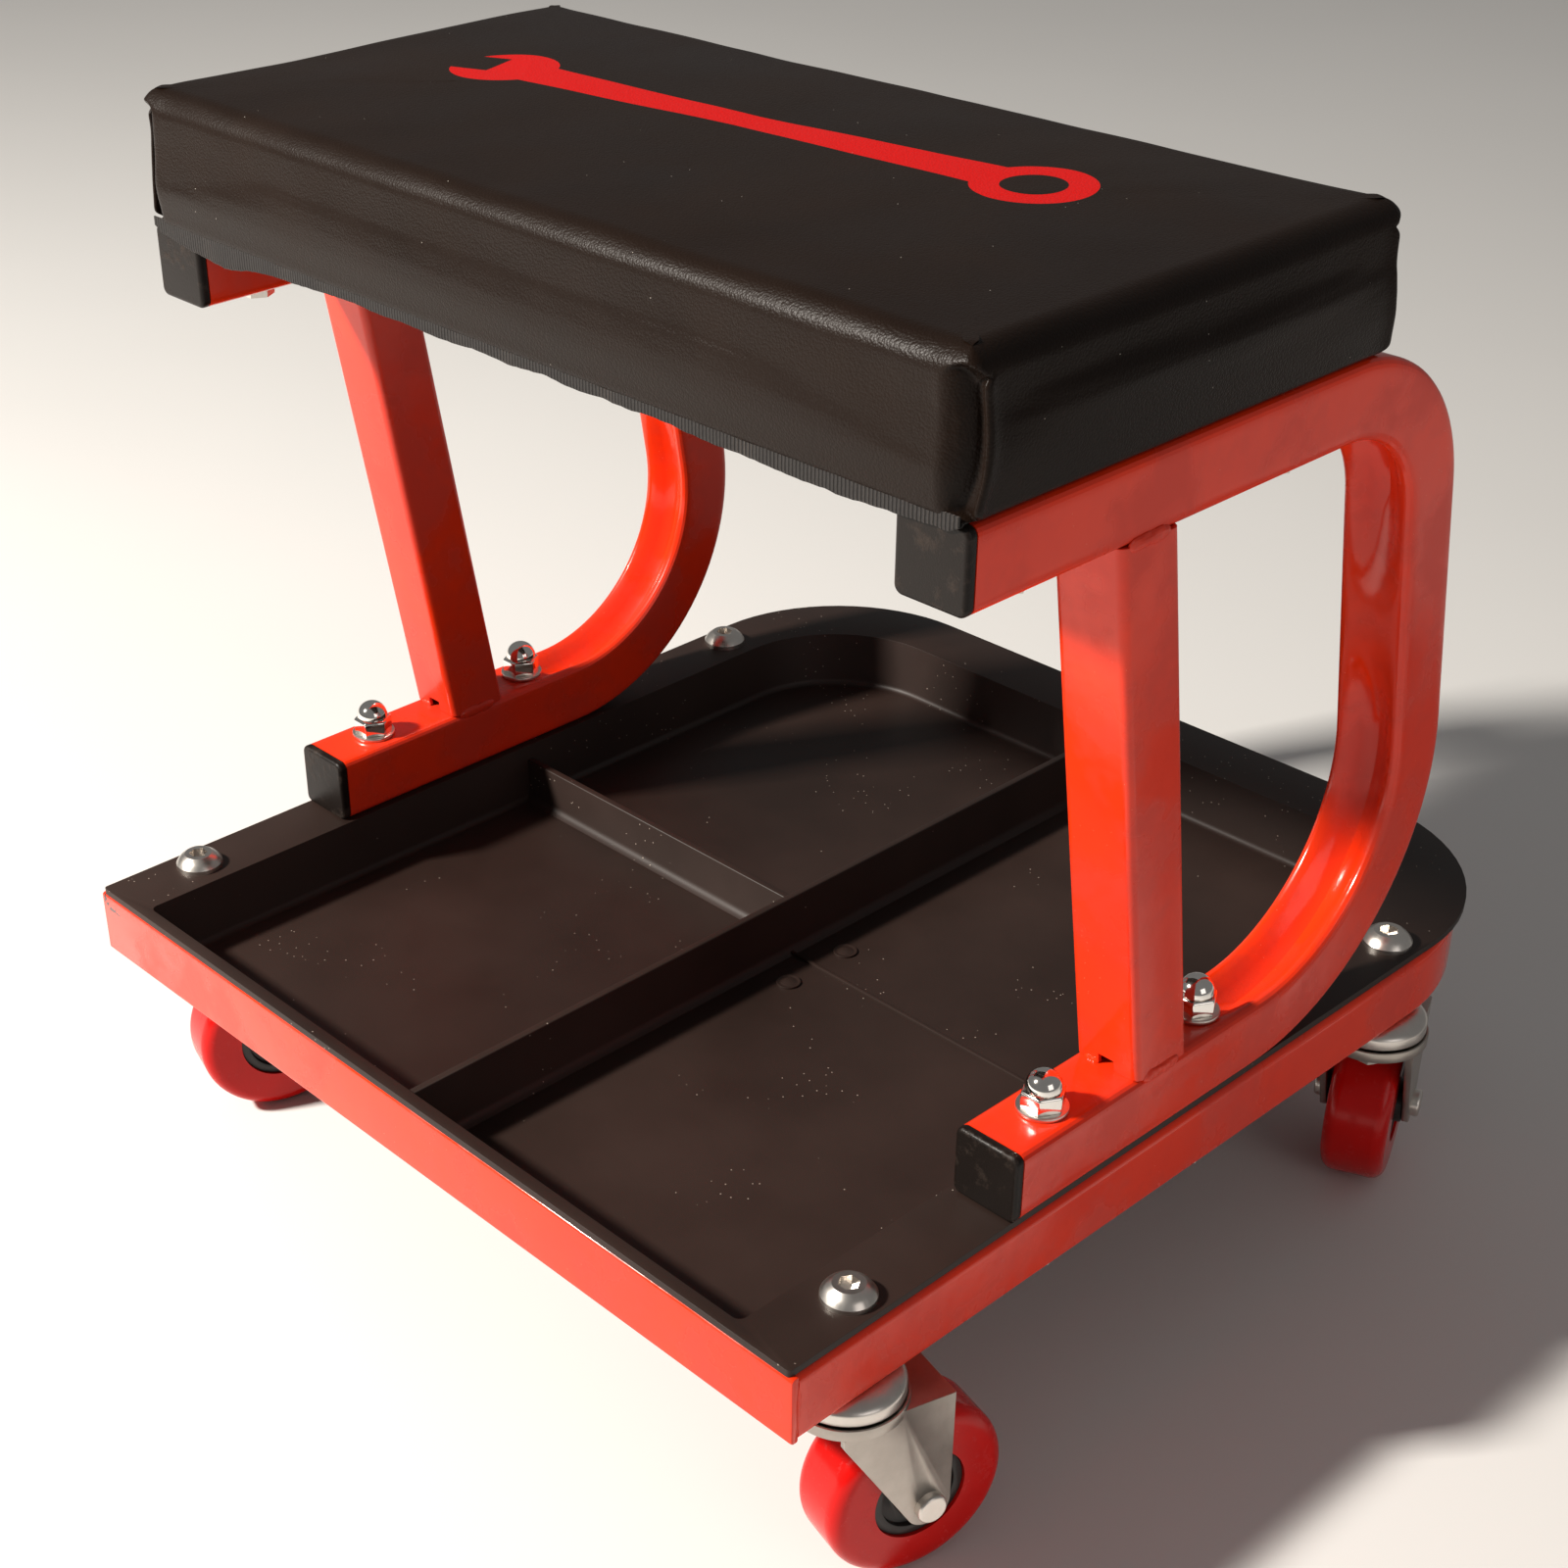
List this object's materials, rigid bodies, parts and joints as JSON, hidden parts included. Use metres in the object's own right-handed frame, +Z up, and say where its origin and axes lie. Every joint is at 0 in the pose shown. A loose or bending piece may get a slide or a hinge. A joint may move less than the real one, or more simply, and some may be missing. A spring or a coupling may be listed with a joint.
{
  "type": "mechanic's roller seat",
  "caption": "Padded bench seat on two bent square-tube side frames over a divided tool tray, rolling on small swivel casters.",
  "frame": {"origin": "on the floor, under the middle of the base: the bottom centre of the bounding box with the casters at rest", "axes": "+Z up, +X to the sitter's right, +Y to the back, where the base has its round corners; the sitter faces -Y"},
  "size_m": [0.3924, 0.397, 0.3985],
  "materials": {
    "red_paint": "gloss orange-red stoved enamel",
    "tray_plastic": "satin black moulding, scuffed on the floor",
    "cap_plastic": "satin black moulding",
    "zinc": "bright zinc plate",
    "chrome": "polished",
    "bearing_steel": "polished balls",
    "plywood": "sanded plywood",
    "foam": "open-cell foam",
    "vinyl": "fine-grained black vinyl",
    "lining": "black woven ribbed lining",
    "hub_plastic": "black moulding",
    "tyre": "glossy red polyurethane"
  },
  "bodies": {
    "frame": {"base_tube": "red_paint", "front_bar": "red_paint", "c_frame_left": "red_paint", "c_frame_right": "red_paint", "strut_left": "red_paint", "strut_right": "red_paint", "tool_tray": "tray_plastic", "lower_end_cap_left": "cap_plastic", "lower_end_cap_right": "cap_plastic", "upper_end_cap_left": "cap_plastic", "upper_end_cap_right": "cap_plastic", "c_frame_bolts": "zinc", "c_frame_washers": "zinc", "seat_bolts": "zinc", "seat_t_nuts": "zinc", "caster_bolts": "zinc", "caster_lock_nuts": "zinc", "lining_staples": "zinc", "acorn_nuts": "chrome", "seat_board": "plywood", "seat_foam": "foam", "seat_cover": "vinyl", "seat_lining": "lining", "caster_front_left_cup": "zinc", "caster_front_left_king_pin": "zinc", "caster_front_left_balls": "bearing_steel", "caster_front_right_cup": "zinc", "caster_front_right_king_pin": "zinc", "caster_front_right_balls": "bearing_steel", "caster_rear_left_cup": "zinc", "caster_rear_left_king_pin": "zinc", "caster_rear_left_balls": "bearing_steel", "caster_rear_right_cup": "zinc", "caster_rear_right_king_pin": "zinc", "caster_rear_right_balls": "bearing_steel"},
    "swivel_front_left": {"caster_front_left_fork": "zinc", "caster_front_left_axle": "zinc", "caster_front_left_sleeve": "zinc"},
    "wheel_front_left": {"caster_front_left_hub": "hub_plastic", "caster_front_left_tread": "tyre"},
    "swivel_front_right": {"caster_front_right_fork": "zinc", "caster_front_right_axle": "zinc", "caster_front_right_sleeve": "zinc"},
    "wheel_front_right": {"caster_front_right_hub": "hub_plastic", "caster_front_right_tread": "tyre"},
    "swivel_rear_left": {"caster_rear_left_fork": "zinc", "caster_rear_left_axle": "zinc", "caster_rear_left_sleeve": "zinc"},
    "wheel_rear_left": {"caster_rear_left_hub": "hub_plastic", "caster_rear_left_tread": "tyre"},
    "swivel_rear_right": {"caster_rear_right_fork": "zinc", "caster_rear_right_axle": "zinc", "caster_rear_right_sleeve": "zinc"},
    "wheel_rear_right": {"caster_rear_right_hub": "hub_plastic", "caster_rear_right_tread": "tyre"}
  },
  "joints": [
    {"name": "swivel_front_left_turn", "type": "hinge", "parent": "frame", "child": "swivel_front_left", "pos_m": [-0.171, -0.1625, 0.075], "axis": [0, 0, 1], "continuous": true},
    {"name": "wheel_front_left_spin", "type": "hinge", "parent": "swivel_front_left", "child": "wheel_front_left", "pos_m": [-0.16497, -0.14239, 0.03175], "axis": [-0.9578, 0.2874, 0], "continuous": true},
    {"name": "swivel_front_right_turn", "type": "hinge", "parent": "frame", "child": "swivel_front_right", "pos_m": [0.171, -0.1625, 0.075], "axis": [0, 0, 1], "continuous": true},
    {"name": "wheel_front_right_spin", "type": "hinge", "parent": "swivel_front_right", "child": "wheel_front_right", "pos_m": [0.17622, -0.14216, 0.03175], "axis": [-0.9686, 0.2487, 0], "continuous": true},
    {"name": "swivel_rear_left_turn", "type": "hinge", "parent": "frame", "child": "swivel_rear_left", "pos_m": [-0.171, 0.1145, 0.075], "axis": [0, 0, 1], "continuous": true},
    {"name": "wheel_rear_left_spin", "type": "hinge", "parent": "swivel_rear_left", "child": "wheel_rear_left", "pos_m": [-0.17622, 0.13484, 0.03175], "axis": [-0.9686, -0.2487, 0], "continuous": true},
    {"name": "swivel_rear_right_turn", "type": "hinge", "parent": "frame", "child": "swivel_rear_right", "pos_m": [0.171, 0.1145, 0.075], "axis": [0, 0, 1], "continuous": true},
    {"name": "wheel_rear_right_spin", "type": "hinge", "parent": "swivel_rear_right", "child": "wheel_rear_right", "pos_m": [0.16263, 0.13376, 0.03175], "axis": [-0.9171, -0.3987, 0], "continuous": true}
  ]
}
